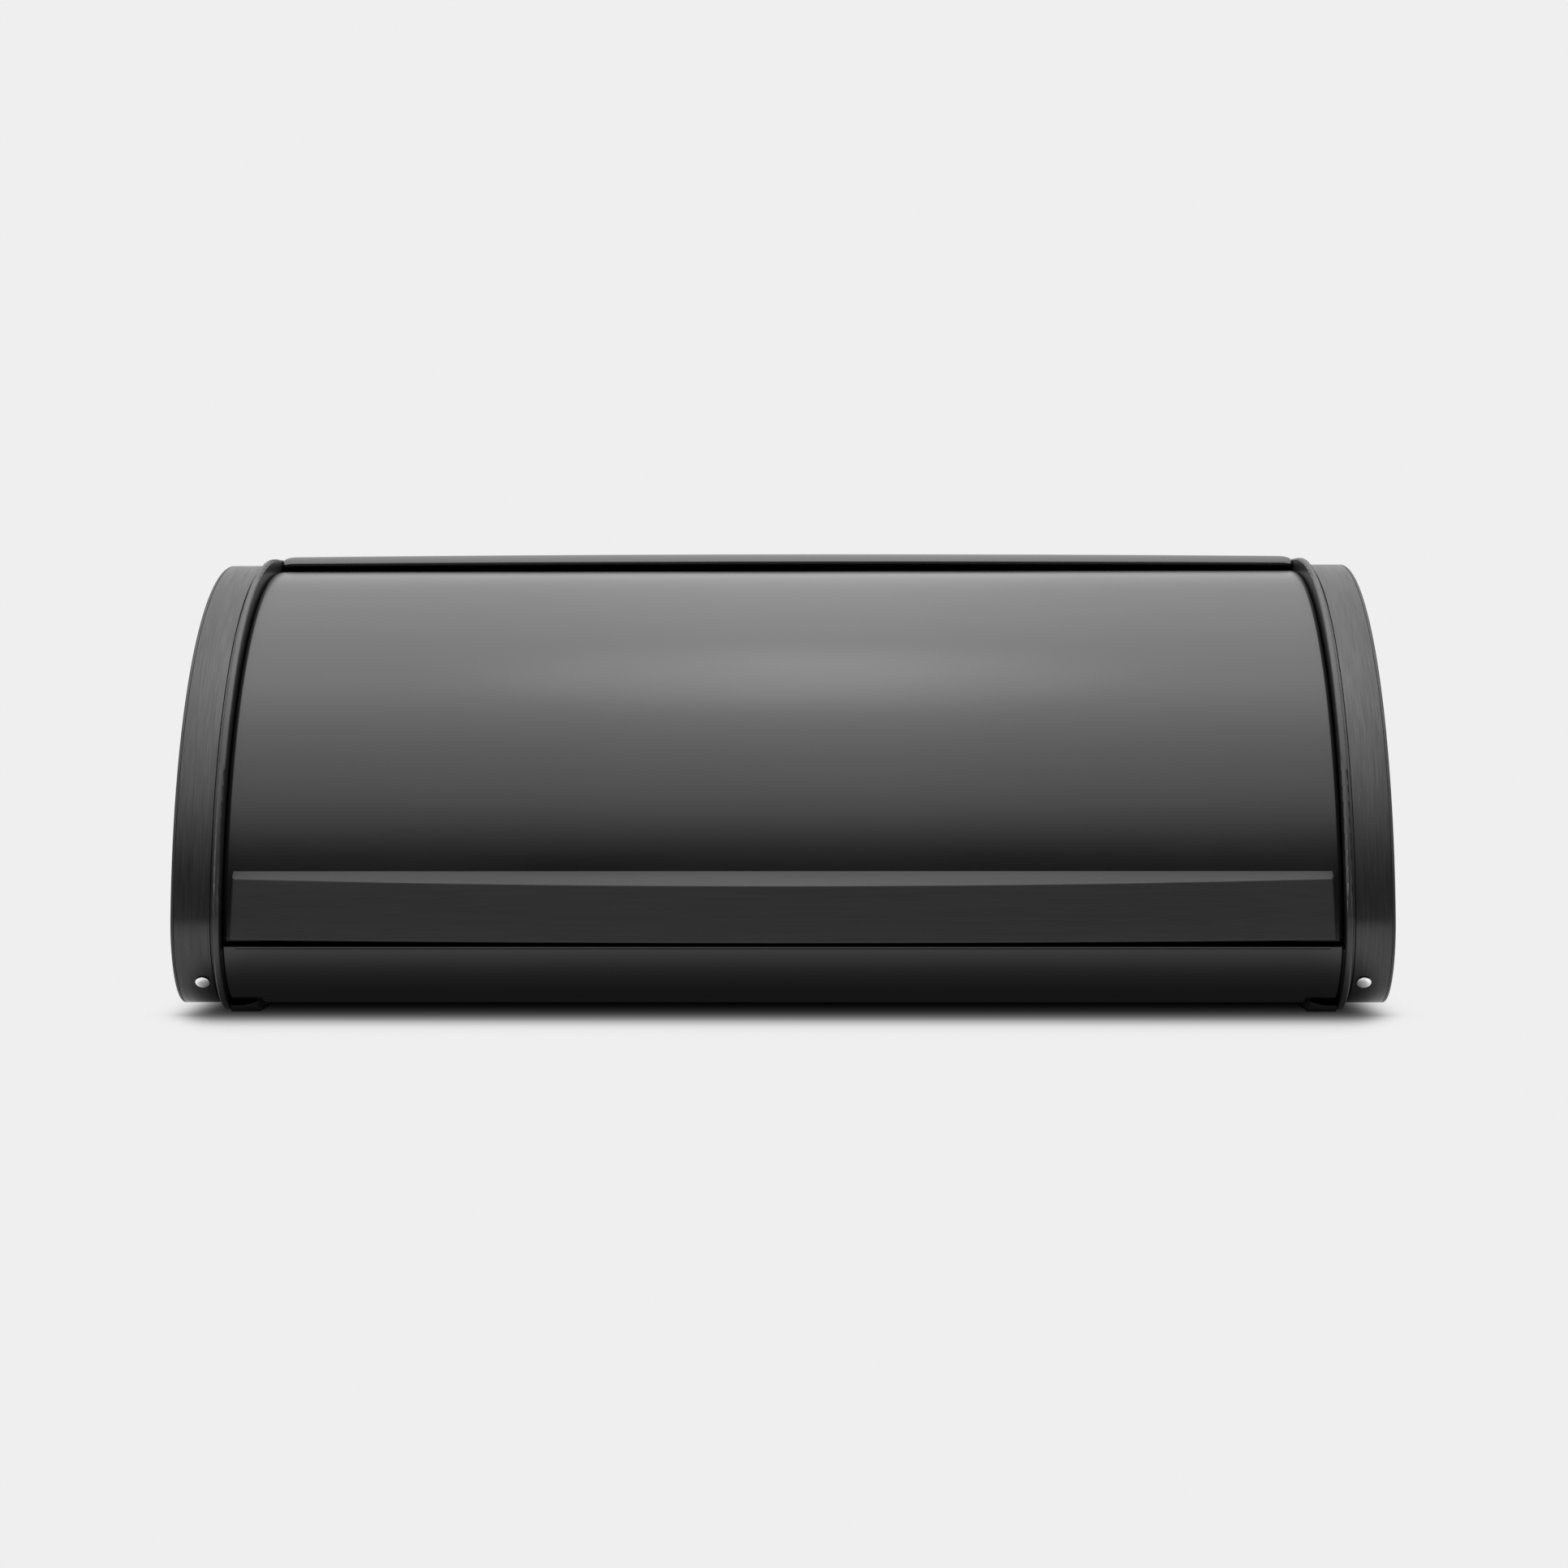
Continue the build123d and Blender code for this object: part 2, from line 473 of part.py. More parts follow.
def closing_stops():
    """Rubber blocks on the end frames, under the arms' lower edges."""
    near, far, top = 116.0, 124.0, PIVOT_Z + 4.6
    inner_end = 198.6
    block = Box(BEAD_IN - inner_end, far - near, 8)
    block = Pos((inner_end + BEAD_IN) / 2, PIVOT_Y - (near + far) / 2, top - 4) * block
    return both_sides(fillet(block.edges().filter_by(Axis.X), 1.2))


def opening_stops():
    """Felt pads inside the back, where the lid's rear edge arrives."""
    thick, z = 2.3, PIVOT_Z + LID_RADIUS * sin(radians(LID_HIGH + LID_TRAVEL))
    pad = Pos(150, BACK_Y + COVER_OUT - SHEET - thick / 2, z) * Box(16, thick, 18)
    return both_sides(fillet(pad.edges().filter_by(Axis.Y), 3))


# ---- Write every piece ---------------------------------------------------------------------------------
right_only = {
    "end_frame": end_frame(),
    "side_plate": side_plate(),
    "band": band(),
    "foot_rail": foot_rail(),
    "pivot_pin": pivot_pin(),
    "pivot_washer": pivot_washer(),
    "pivot_clip": pivot_clip(),
    "pivot_bush": pivot_bush(),
    "lid_arm": lid_arm(),
}
pieces = {
    "rear_top_cover": rear_top_cover(),
    "base_pan": base_pan(),
    "lid_sheet": lid_sheet(),
    "handle_bar": grip(),
    "handle_screws": handle_screws(),
    "band_rivets": band_rivets(),
    "floor_screws": floor_screws(),
    "cover_screws": cover_screws(),
    "seam_rivets": seam_rivets(),
    "side_plate_screws": side_plate_screws(),
    "closing_stops": closing_stops(),
    "opening_stops": opening_stops(),
}
for name, solid in right_only.items():
    pieces["right_" + name] = solid
    pieces["left_" + name] = mirror(solid, Plane.YZ)

os.makedirs("parts", exist_ok=True)
for name, solid in pieces.items():
    export_step(solid, f"parts/{name}.step")
box = Compound(children=[s for p in pieces.values() for s in p.solids()]).bounding_box()
print("pivot", round(PIVOT_Y, 3), round(PIVOT_Z, 3), "box", box.min, box.max)
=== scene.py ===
import json
import math

import bmesh
import bpy
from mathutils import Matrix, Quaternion, Vector


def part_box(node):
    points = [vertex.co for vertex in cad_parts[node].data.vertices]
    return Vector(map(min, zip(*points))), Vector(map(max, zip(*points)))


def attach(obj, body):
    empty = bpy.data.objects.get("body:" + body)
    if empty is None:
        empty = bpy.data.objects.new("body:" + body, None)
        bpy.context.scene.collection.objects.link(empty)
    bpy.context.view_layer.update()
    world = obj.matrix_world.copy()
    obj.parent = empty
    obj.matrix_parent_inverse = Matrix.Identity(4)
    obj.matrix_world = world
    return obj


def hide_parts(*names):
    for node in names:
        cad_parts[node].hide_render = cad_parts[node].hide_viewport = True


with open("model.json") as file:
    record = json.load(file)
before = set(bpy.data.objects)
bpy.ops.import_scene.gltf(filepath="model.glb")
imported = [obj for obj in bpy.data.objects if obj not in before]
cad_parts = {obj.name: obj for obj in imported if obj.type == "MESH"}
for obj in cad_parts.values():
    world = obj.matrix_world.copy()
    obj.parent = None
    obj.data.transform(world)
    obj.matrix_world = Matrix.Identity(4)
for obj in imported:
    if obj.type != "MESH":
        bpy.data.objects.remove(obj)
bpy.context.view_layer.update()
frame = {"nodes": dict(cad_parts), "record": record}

# A roll-top bread bin in black steel, and the studio it stands in. Outlines and sizes are in mm, and meshes
# are made in metres, in the frame's own place. An elevation is an angle seen from the side: 0 is straight
# ahead (-Y), 90 is up, 180 is back.
MM = 0.001
scene = bpy.context.scene


def node_box(name):
    """(lowest, highest) corner of a CAD node, in mm."""
    low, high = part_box(name)
    return low / MM, high / MM


# ---- Sizes ---------------------------------------------------------------------------------------------
pivot = Vector(frame["record"]["behaviour"]["joints"][0]["pos_m"]) / MM
band_low, band_high = node_box("right_band")
pan_high = node_box("base_pan")[1]
cover_low, cover_high = node_box("rear_top_cover")
lid_high = node_box("lid_sheet")[1]

# Ends: the bands' outline, with a front curve round the pivots and a rounded corner at each turn
BAND_RADIUS = band_high.z - pivot.z
FRONT_CORNER, REAR_BOTTOM_CORNER, REAR_TOP_CORNER = 30.4, 12.0, 24.0
BOTTOM_Z, BACK_Y = band_low.z, band_high.y
BAND_THICK = 0.7
BAND_TAIL = 5.0          # how far each end of a band runs on under the floor
RIVET_X = 212.1
FRONT_RIVET = -90 + 46.9                         # its elevation on the front corner
BACK_RIVET_Z = 27.0
RIVET_PROFILE = [        # (radius, height) from the foot to the crown
    (1.6, 0.0), (2.45, 0.12), (2.68, 0.28), (2.75, 0.45), (2.66, 0.62),
    (2.35, 0.86), (1.8, 1.06), (1.1, 1.17), (0.4, 1.2),
]

# Sheets: all of one thickness, and an overlap where a fold's layers meet
SHEET, OVERLAP = 0.8, 0.05
SHEET_HALF, LID_HALF = cover_high.x, lid_high.x
SPACE_Z = 70.0           # height of the middle of the bread space
LID_RADIUS = BAND_RADIUS - 2.5
LID_LOW, LID_HIGH = 2.9, 95.0                    # the elevations that the lid runs between
LID_CURL, LID_RETURN = 2.0, 2.4                  # radius and depth of its curled side edges
HEM_HALF, HEM_TURN, HEM_INSET = 192.0, 2.0, 0.05 # half length, and its width and inset in degrees
NOSE_RADIUS, NOSE_END = 10.0, 45.0               # the nose's curve, and the elevation where it ends
NOSE = Vector((pivot.y + 12.0, cover_high.z - NOSE_RADIUS))
NOSE_RETURN, COVER_RETURN = 2.4, 3.2             # depth of the side edges on the nose and behind it
COVER_OUT = cover_high.z - band_high.z
COVER_CROWN = 1.0        # how much lower the nose's ends are than its middle
CURL_LENGTH, CURL_DROP = 5.0, 1.5                # how the cover rounds off towards its side edges
ROLL_INSET, ROLL_TAPER = 0.3, 1.2                # how much shorter the rolled edge is, and its ends' taper
PAN_BACK = pan_high.y - BACK_Y
PAN_CURL, PAN_RETURN = 0.95, 1.2
UPSTAND_HALF = 197.0
SILL_Z, SILL_HALF = 25.9, 199.0
SILL_REACH, SILL_DROP = 6.0, 5.0                 # how far the sill is folded back, and then down

# Handle
GRIP_TOP, GRIP_MID = 13.0, 7.8                   # elevations of its top and its face's middle
GRIP_PROUD, GRIP_BOW = 6.7, 3.6                  # how far its middle stands off the lid, and its bow
GRIP_HALF, GRIP_FLARE = 200.1, 1.1               # half length at the top, and how much more at the bottom
GRIP_LEDGE_SLOPE, GRIP_BASE_SLOPE = 31.5, 12.0   # how steeply they fall towards the front, in degrees
GRIP_BASE_Z = 29.1       # height of its base where that meets the lid
GRIP_TUCK, GRIP_ROUND = 1.2, 1.3                 # how deep it sits in the lid, and its ends' rounding


# ---- Outlines ------------------------------------------------------------------------------------------
def ray(elevation):
    """Unit (y, z) at that elevation."""
    a = math.radians(elevation)
    return Vector((-math.cos(a), math.sin(a)))


def arc(centre, radius, start, end, step=1.5):
    """Stations (point, outward normal) round an arc, from one elevation to another."""
    n = max(2, math.ceil(abs(end - start) / step))
    turns = [ray(start + (end - start) * i / n) for i in range(n + 1)]
    return [(centre + t * radius, t) for t in turns]


def straight(start, end, elevation, step=12.0):
    n = max(1, math.ceil((end - start).length / step))
    return [(start.lerp(end, i / n), ray(elevation)) for i in range(n + 1)]


def joined(*stretches):
    """One path from several, without its doubled stations."""
    path = []
    for stretch in stretches:
        for point, normal in stretch:
            if not path or (point - path[-1][0]).length > 1e-4:
                path.append((point, normal))
    return path


centre = Vector((pivot.y, pivot.z))
corner_z = BOTTOM_Z + FRONT_CORNER
corner_reach = math.sqrt((BAND_RADIUS - FRONT_CORNER) ** 2 - (corner_z - pivot.z) ** 2)
corner = Vector((pivot.y - corner_reach, corner_z))
corner_start = math.degrees(math.atan2(corner_z - pivot.z, corner_reach))
rear_top = Vector((BACK_Y - REAR_TOP_CORNER, band_high.z - REAR_TOP_CORNER))
rear_low = Vector((BACK_Y - REAR_BOTTOM_CORNER, BOTTOM_Z + REAR_BOTTOM_CORNER))


def over_top(foot_z):
    """The cover's outer face, from the end of its nose, over the top and down the back to foot_z."""
    top_z, back_y = band_high.z + COVER_OUT, BACK_Y + COVER_OUT
    top = straight(Vector((NOSE.x, top_z)), Vector((rear_top.x, top_z)), 90)
    back = straight(Vector((back_y, rear_top.y)), Vector((back_y, foot_z)), 180)
    nose = arc(NOSE, NOSE_RADIUS, NOSE_END, 90, 4)
    return joined(nose, top, arc(rear_top, REAR_TOP_CORNER + COVER_OUT, 90, 180, 5), back)


def under(start, back_shift, head_z):
    """The band line from an elevation on the front corner, under the floor and up the back to head_z."""
    shift = Vector((back_shift, 0))
    floor = straight(Vector((corner.x, BOTTOM_Z)), Vector((rear_low.x, BOTTOM_Z)) + shift, -90)
    back = straight(Vector((BACK_Y, rear_low.y)) + shift, Vector((BACK_Y, head_z)) + shift, 180)
    turn = arc(rear_low + shift, REAR_BOTTOM_CORNER, -90, -180, 6)
    return joined(arc(corner, FRONT_CORNER, start, -90, 3), floor, turn, back)


def rounded(corners, steps=5):
    """A closed outline from (a, b, radius) corners, with round stretches in place of the corners."""
    outline = []
    for i, (a, b, radius) in enumerate(corners):
        here = Vector((a, b))
        before = (Vector(corners[i - 1][:2]) - here).normalized()
        after = (Vector(corners[(i + 1) % len(corners)][:2]) - here).normalized()
        if radius == 0:
            outline.append(here)
            continue
        half = before.angle(after) / 2
        middle = here + (before + after).normalized() * radius / math.sin(half)
        start = here + before * radius / math.tan(half) - middle
        end = here + after * radius / math.tan(half) - middle
        sweep = start.angle(end)
        for k in range(steps + 1):
            t = k / steps
            turned = start * math.sin((1 - t) * sweep) + end * math.sin(t * sweep)
            outline.append(middle + turned / math.sin(sweep))
    return outline


# ---- Meshes --------------------------------------------------------------------------------------------
class Shell:
    """Points in mm and faces, from which pieces are made."""

    def __init__(self):
        self.points, self.faces = [], []

    def loop(self, points):
        first = len(self.points)
        self.points += [tuple(p) for p in points]
        return list(range(first, len(self.points)))

    def skin(self, loops):
        """Faces between loops of equal length, in order, and over the first and the last."""
        for a, b in zip(loops, loops[1:]):
            for i in range(len(a)):
                j = (i + 1) % len(a)
                self.faces.append((a[i], a[j], b[j], b[i]))
        self.faces += [tuple(loops[0][::-1]), tuple(loops[-1])]


def swept(shell, path, section):
    """Adds a section of (x, out) points, carried along a path of stations."""
    loops = []
    for i, (point, normal) in enumerate(path):
        here = section(i, point) if callable(section) else section
        loops.append(shell.loop((x, *(point + normal * out)) for x, out in here))
    shell.skin(loops)


def piece(name, shell, finish, body, replaced, bevel=0.0, smooth=35):
    """A mesh object from a shell, with its finish, body and the CAD node it stands for."""
    mesh = bpy.data.meshes.new(name)
    mesh.from_pydata([Vector(p) * MM for p in shell.points], [], shell.faces)
    build = bmesh.new()
    build.from_mesh(mesh)
    bmesh.ops.remove_doubles(build, verts=build.verts, dist=1e-7)
    bmesh.ops.recalc_face_normals(build, faces=build.faces)
    build.to_mesh(mesh)
    build.free()
    mesh.polygons.foreach_set("use_smooth", [True] * len(mesh.polygons))
    mesh.set_sharp_from_angle(angle=math.radians(smooth))
    mesh.materials.append(finish)
    obj = bpy.data.objects.new(name, mesh)
    scene.collection.objects.link(obj)
    if bevel:
        edge = obj.modifiers.new("edge", "BEVEL")
        edge.width, edge.segments = bevel * MM, 2
        edge.limit_method, edge.angle_limit = "ANGLE", math.radians(50)
        edge.harden_normals = True
    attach(obj, body)
    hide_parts(replaced)
    return obj


def line_inside(obj, finish):
    """Gives a second finish to the faces that look towards the middle of the bread space: a bare undercoat,
    whose lightness is also painted light for the dim inside.
    """
    middle = Vector((0, pivot.y, SPACE_Z)) * MM
    least_facing = 0.35
    obj.data.materials.append(finish)
    # Faces towards the middle take the lighter inside finish, painted light for the dim inside
    for face in obj.data.polygons:
        towards = Vector((0, middle.y - face.center.y, middle.z - face.center.z)).normalized()
        if face.normal.dot(towards) > least_facing:
            face.material_index = 1


# ---- Finishes ------------------------------------------------------------------------------------------
class Finish:
    """A Principled material whose fields are in the object's own coordinates."""

    def __init__(self, name, colour, roughness, **sockets):
        self.material = bpy.data.materials.new(name)
        self.material.use_nodes = True
        self.nodes, self.links = self.material.node_tree.nodes, self.material.node_tree.links
        self.shader = self.nodes["Principled BSDF"]
        self.shader.inputs["Base Color"].default_value = (*colour, 1)
        self.shader.inputs["Roughness"].default_value = roughness
        for socket, value in sockets.items():
            self.shader.inputs[socket.replace("_", " ")].default_value = value
        self.place = self.nodes.new("ShaderNodeTexCoord").outputs["Object"]
        self.height = None

    def noise(self, size, stretch=(1, 1, 1), detail=3.0, harshness=0.5):
        """Noise whose features are about size mm across, times stretch along each axis."""
        mapping = self.nodes.new("ShaderNodeMapping")
        mapping.inputs["Scale"].default_value = [1 / (size * MM * s) for s in stretch]
        field = self.nodes.new("ShaderNodeTexNoise")
        field.inputs["Scale"].default_value = 1.0
        field.inputs["Detail"].default_value = detail
        field.inputs["Roughness"].default_value = harshness
        self.links.new(self.place, mapping.inputs["Vector"])
        self.links.new(mapping.outputs["Vector"], field.inputs["Vector"])
        return field.outputs["Fac"]

    def ranged(self, field, low, high):
        """The middle stretch of a noise, where most of it lies, spread over low to high."""
        spread = self.nodes.new("ShaderNodeMapRange")
        for socket, value in zip(("From Min", "From Max", "To Min", "To Max"), (0.3, 0.7, low, high)):
            spread.inputs[socket].default_value = value
        self.links.new(field, spread.inputs["Value"])
        return spread.outputs["Result"]

    def colours(self, field, dark, light):
        mix = self.nodes.new("ShaderNodeMix")
        mix.data_type = "RGBA"
        mix.inputs["A"].default_value, mix.inputs["B"].default_value = (*dark, 1), (*light, 1)
        self.links.new(self.ranged(field, 0, 1), mix.inputs["Factor"])
        self.links.new(mix.outputs["Result"], self.shader.inputs["Base Color"])

    def roughness(self, field, low, high):
        self.links.new(self.ranged(field, low, high), self.shader.inputs["Roughness"])

    def relief(self, field, depth):
        """Bumps about depth mm high, on top of any before them."""
        bump = self.nodes.new("ShaderNodeBump")
        bump.inputs["Distance"].default_value = depth * MM
        bump.inputs["Strength"].default_value = 1.0
        self.links.new(field, bump.inputs["Height"])
        if self.height:
            self.links.new(self.height, bump.inputs["Normal"])
        self.height = bump.outputs["Normal"]
        self.links.new(self.height, self.shader.inputs["Normal"])

    def grain_round_x(self):
        """Brushing that runs round the X axis, for the highlight's stretch."""
        tangent = self.nodes.new("ShaderNodeTangent")
        tangent.direction_type, tangent.axis = "RADIAL", "X"
        self.links.new(tangent.outputs["Tangent"], self.shader.inputs["Tangent"])


def grey(value):
    return (value, value, value)


def coated_steel():
    """Satin black powder coat: fine orange peel, a little uneven in gloss."""
    f = Finish("satin_black_coat", grey(0.0045), 0.23)
    f.colours(f.noise(45, detail=2), grey(0.0038), grey(0.0052))
    f.roughness(f.noise(18, (3, 1, 1)), 0.21, 0.25)
    f.relief(f.noise(0.9, detail=2), 0.0035)
    f.relief(f.noise(70, (1.6, 1, 1), detail=1), 0.12)
    return f.material


def inside_coat_and_painted_light():
    """Plain dark grey undercoat, left bare inside, and lighter than the outer coat as painted light, so the
    dimly lit inside still reads.
    """
    f = Finish("inside_grey_coat_and_painted_light", grey(0.035), 0.5)
    f.colours(f.noise(3, detail=3), grey(0.030), grey(0.041))
    f.roughness(f.noise(14, detail=2), 0.46, 0.56)
    f.relief(f.noise(0.8, detail=2), 0.008)
    return f.material


def band_steel():
    """Black stainless strip, brushed along its length."""
    f = Finish("black_brushed_steel", grey(0.05), 0.37, Metallic=1.0, Anisotropic=0.15,
               Anisotropic_Rotation=0.25)
    f.grain_round_x()
    streaks = f.noise(0.55, (1, 30, 30), detail=4, harshness=0.65)
    f.colours(streaks, grey(0.042), grey(0.060))
    f.roughness(f.noise(1.6, (1, 14, 14)), 0.33, 0.41)
    f.relief(f.noise(0.3, (1, 60, 60), detail=3), 0.006)
    return f.material


def handle_plastic():
    """Satin moulded plastic with fine lines along its length."""
    f = Finish("handle_satin_plastic", grey(0.0138), 0.45, Specular_IOR_Level=0.32)
    f.colours(f.noise(0.7, (60, 1, 1), detail=4), grey(0.0118), grey(0.0158))
    f.roughness(f.noise(9, (8, 1, 1)), 0.42, 0.48)
    f.relief(f.noise(0.45, (60, 1, 1), detail=3), 0.006)
    return f.material


def moulded_plastic(name, level, rough, texture=0.02):
    """Spark-eroded moulded plastic."""
    f = Finish(name, grey(level), rough)
    f.colours(f.noise(2.2, detail=3), grey(level * 0.92), grey(level * 1.1))
    f.roughness(f.noise(6), rough - 0.03, rough + 0.03)
    f.relief(f.noise(0.55, detail=3, harshness=0.6), texture)
    return f.material


def rubber():
    """Soft dark rubber, matt and a little uneven."""
    f = Finish("foot_rubber", grey(0.05), 0.75, Specular_IOR_Level=0.3)
    f.colours(f.noise(8), grey(0.042), grey(0.058))
    f.roughness(f.noise(3), 0.62, 0.8)
    f.relief(f.noise(0.5), 0.03)
    return f.material


def felt():
    """Short black fibres."""
    f = Finish("black_felt", grey(0.02), 0.95, Sheen_Weight=0.35, Sheen_Roughness=0.5)
    f.colours(f.noise(0.6, detail=5, harshness=0.7), grey(0.012), grey(0.035))
    f.relief(f.noise(0.35, detail=4, harshness=0.7), 0.12)
    return f.material


def plated_steel(name, level, rough):
    """Bright steel with fine turning or tumbling marks."""
    f = Finish(name, grey(level), rough, Metallic=1.0)
    f.colours(f.noise(2.5), grey(level * 0.85), grey(min(1.0, level * 1.08)))
    f.roughness(f.noise(1.2), rough - 0.07, rough + 0.08)
    f.relief(f.noise(0.25, detail=3), 0.004)
    return f.material


COAT, INSIDE = coated_steel(), inside_coat_and_painted_light()
BAND = band_steel()
GRIP = handle_plastic()
FRAME = moulded_plastic("frame_plastic", 0.012, 0.36)
PLATE = moulded_plastic("plate_plastic", 0.009, 0.46, 0.03)
ARM = moulded_plastic("arm_plastic", 0.02, 0.5)
BUSH = moulded_plastic("bush_acetal", 0.6, 0.4, 0.005)
RUBBER, FELT = rubber(), felt()
RIVET = plated_steel("rivet_steel", 0.82, 0.24)
ZINC = plated_steel("zinc_steel", 0.55, 0.34)

CAD_FINISHES = {
    "end_frame": FRAME, "side_plate": PLATE, "lid_arm": ARM, "pivot_bush": BUSH,
    "foot_rail": RUBBER, "closing_stops": RUBBER, "opening_stops": FELT,
    "pivot_pin": ZINC, "pivot_washer": ZINC, "pivot_clip": ZINC, "seam_rivets": ZINC, "band_rivets": RIVET,
    "floor_screws": ZINC, "cover_screws": ZINC, "side_plate_screws": ZINC, "handle_screws": ZINC,
    "band": BAND, "rear_top_cover": COAT, "base_pan": COAT, "lid_sheet": COAT, "handle_bar": GRIP,
}


def finish_cad_nodes():
    """Gives every CAD node its finish, left and right alike."""
    for name, node in frame["nodes"].items():
        kind = name.removeprefix("right_").removeprefix("left_")
        node.data.materials.clear()
        node.data.materials.append(CAD_FINISHES[kind])


# ---- Pieces --------------------------------------------------------------------------------------------
def curled_section(half, curl, depth, edge=0.3):
    """Sheet section with its two side edges curled inwards by depth."""
    inner = half - SHEET
    return rounded([
        (-half, -depth, edge), (-half, 0, curl), (half, 0, curl), (half, -depth, edge), (inner, -depth, edge),
        (inner, -SHEET, curl - SHEET), (-inner, -SHEET, curl - SHEET), (-inner, -depth, edge),
    ])


def strip_section(left, right, top, bottom, edge):
    """Flat strip's section, with its four edges rounded."""
    return rounded([(left, bottom, edge), (left, top, edge), (right, top, edge), (right, bottom, edge)], 3)


def make_lid_skin():
    """Curved sheet with curled sides, and a folded hem along its lower and its rear edge."""
    shell = Shell()
    section = curled_section(LID_HALF, LID_CURL, LID_RETURN)
    swept(shell, arc(centre, LID_RADIUS, LID_LOW, LID_HIGH, 1.0), section)
    hem = strip_section(-HEM_HALF, HEM_HALF, OVERLAP - SHEET, -2 * SHEET, 0.3)
    for low in (LID_LOW + HEM_INSET, LID_HIGH - (HEM_TURN + HEM_INSET)):
        swept(shell, arc(centre, LID_RADIUS, low, low + HEM_TURN), hem)
    lid = piece("lid_skin", shell, COAT, "lid", "lid_sheet", bevel=0.2)
    line_inside(lid, INSIDE)


def cover_drop(x, crown):
    """How far the cover's outer face is below its middle, at x."""
    past = max(0.0, abs(x) - (SHEET_HALF - CURL_LENGTH)) / CURL_LENGTH
    return crown * (x / SHEET_HALF) ** 2 + CURL_DROP * (1 - math.sqrt(max(0.0, 1 - past * past)))


def make_top_cover():
    """Top and back sheet, whose front edge is crowned, bent down in a nose and folded back underneath."""
    curl = [SHEET_HALF - CURL_LENGTH * (1 - math.sin(math.radians(a))) for a in range(0, 91, 10)]
    flat = [SHEET_HALF - CURL_LENGTH - 22 * i for i in range(1, 9)]
    right = sorted(flat) + curl
    across = [-x for x in reversed(right)] + [0.0] + right
    path = over_top(cover_low.z)
    flat_run = 0.8 * (rear_top.x - NOSE.x)

    def section(i, point):
        behind = point.x - NOSE.x
        crown = COVER_CROWN * min(1.0, max(0.0, 1 - behind / flat_run))
        folded = behind < -0.5
        thick, edge = (2 * SHEET, NOSE_RETURN) if folded else (SHEET, COVER_RETURN)
        outer = [(x, -cover_drop(x, crown)) for x in across]
        inner_half = SHEET_HALF - SHEET
        inner = [(x * inner_half / SHEET_HALF, max(0.02 - edge, out - thick)) for x, out in outer]
        edges = [(SHEET_HALF, -edge), (inner_half, -edge)]
        return outer + edges + inner[::-1] + [(-x, out) for x, out in reversed(edges)]

    shell = Shell()
    swept(shell, path, section)
    normal, along = ray(NOSE_END), ray(NOSE_END - 90)
    reach = SHEET_HALF - ROLL_INSET
    turn = [math.radians(a) for a in range(0, 360, 15)]
    loops = []
    for x in [-reach, -reach + 0.1, -reach + 0.35] + across[3:-3] + [reach - 0.35, reach - 0.1, reach]:
        tight = max(0.0, abs(x) - (reach - ROLL_TAPER)) / ROLL_TAPER
        radius = SHEET * math.sqrt(max(0.03, 1 - tight ** 3))
        middle = NOSE + normal * (NOSE_RADIUS - cover_drop(x, COVER_CROWN) - radius)
        ring = [middle + (normal * math.cos(t) + along * math.sin(t)) * radius for t in turn]
        loops.append(shell.loop((x, *point) for point in ring))
    shell.skin(loops)
    cover = piece("top_cover", shell, COAT, "body", "rear_top_cover", bevel=0.15, smooth=40)
    line_inside(cover, INSIDE)


def make_pan():
    """Lower front panel, floor and rear upstand, with the folded sill."""
    shell = Shell()
    sill = math.degrees(math.asin((SILL_Z - corner.y) / FRONT_CORNER))
    section = curled_section(SHEET_HALF, PAN_CURL, PAN_RETURN)
    swept(shell, under(sill, PAN_BACK, cover_low.z - 0.3), section)
    back_y = BACK_Y + PAN_BACK
    upstand = straight(Vector((back_y, cover_low.z - 0.4)), Vector((back_y, pan_high.z)), 180)
    swept(shell, upstand, strip_section(-UPSTAND_HALF, UPSTAND_HALF, -0.02, -SHEET, 0.2))
    front = corner.x - FRONT_CORNER * math.cos(math.radians(sill)) + 0.1
    back = front + SILL_REACH - 0.1
    fold = rounded([
        (front, SILL_Z - SHEET - 0.1, 0), (front, SILL_Z, SHEET), (back, SILL_Z, SHEET),
        (back, SILL_Z - SILL_DROP, 0.3), (back - SHEET, SILL_Z - SILL_DROP, 0.3),
        (back - SHEET, SILL_Z - SHEET, 0), (front + SHEET, SILL_Z - SHEET, 0),
    ])
    ends = (-SILL_HALF, 0.2 - SILL_HALF, SILL_HALF - 0.2, SILL_HALF)
    shell.skin([shell.loop((x, y, z) for y, z in fold) for x in ends])
    pan = piece("front_and_floor", shell, COAT, "body", "base_pan", bevel=0.15)
    line_inside(pan, INSIDE)


def make_bands():
    """One brushed strip round each end, from under its front corner over the top to under its back."""
    whole = joined(
        straight(Vector((corner.x + BAND_TAIL, BOTTOM_Z)), Vector((corner.x, BOTTOM_Z)), -90),
        arc(corner, FRONT_CORNER, -90, corner_start, 3),
        arc(centre, BAND_RADIUS, corner_start, 90),
        straight(Vector((pivot.y, band_high.z)), Vector((rear_top.x, band_high.z)), 90),
        arc(rear_top, REAR_TOP_CORNER, 90, 180, 5),
        straight(Vector((BACK_Y, rear_top.y)), Vector((BACK_Y, rear_low.y)), 180),
        arc(rear_low, REAR_BOTTOM_CORNER, 180, 270, 6),
        straight(Vector((rear_low.x, BOTTOM_Z)), Vector((rear_low.x - BAND_TAIL, BOTTOM_Z)), 270),
    )
    section = strip_section(band_low.x, band_high.x, 0, -BAND_THICK, 0.18)
    for side, name in ((1, "right"), (-1, "left")):
        shell = Shell()
        swept(shell, whole, [(side * x, out) for x, out in section])
        piece(f"{name}_brushed_band", shell, BAND, "body", f"{name}_band")


